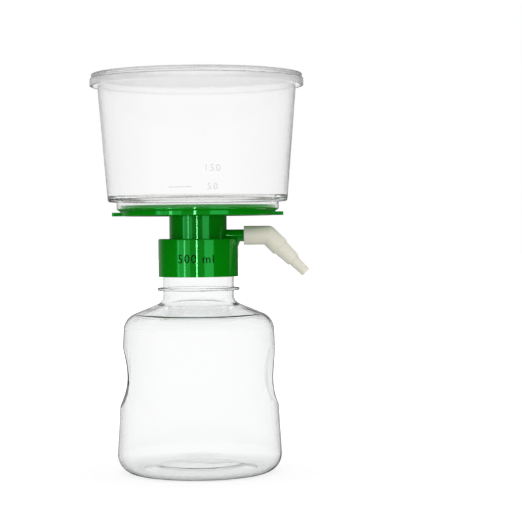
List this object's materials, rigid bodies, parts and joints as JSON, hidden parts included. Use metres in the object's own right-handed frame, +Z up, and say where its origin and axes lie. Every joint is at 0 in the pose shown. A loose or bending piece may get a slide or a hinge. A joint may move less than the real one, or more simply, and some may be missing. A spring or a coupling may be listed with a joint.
{
  "type": "vacuum filtration unit",
  "caption": "Lidded clear funnel on a green screw-on filter base with a side vacuum port and hose elbow, over a clear grip-sided receiver bottle.",
  "frame": {"origin": "centre of the circle on which the bottle's foot ring stands", "axes": "+Z up along the bottle's axis, +X along the vacuum port towards the hose adapter"},
  "size_m": [0.125, 0.1224, 0.2286],
  "materials": {
    "lid_clear": "clear glossy polystyrene",
    "funnel_clear": "clear glossy polystyrene",
    "membrane_white": "matt white cellulose membrane",
    "base_green": "glossy green plastic",
    "gasket_white": "soft white sealing rubber",
    "adapter_ivory": "satin ivory polypropylene",
    "bottle_clear": "clear glossy blown plastic"
  },
  "bodies": {
    "bottle": {"receiver_bottle": "bottle_clear"},
    "gasket": {"neck_gasket": "gasket_white"},
    "head": {"filter_base": "base_green", "filter_membrane": "membrane_white", "funnel": "funnel_clear"},
    "lid": {"lid": "lid_clear"},
    "adapter": {"hose_adapter": "adapter_ivory"}
  },
  "joints": [
    {"name": "head_rise", "type": "slide", "parent": "bottle", "child": "gasket", "axis": [0, 0, 1], "range_m": [0, 0.00801]},
    {"name": "head_unscrew", "type": "hinge", "parent": "gasket", "child": "head", "pos_m": [0, 0, 0.1304], "axis": [0, 0, 1], "range_deg": [0, 720]},
    {"name": "lid_lift", "type": "slide", "parent": "head", "child": "lid", "axis": [0, 0, 1], "range_m": [0, 0.04]},
    {"name": "adapter_swivel", "type": "hinge", "parent": "head", "child": "adapter", "pos_m": [0.03, 0, 0.136], "axis": [1, 0, 0], "range_deg": [-120, 120]}
  ],
  "couplings": [
    {"joint": "head_rise", "follows": "head_unscrew", "m_per_rad": 0.00063662}
  ]
}
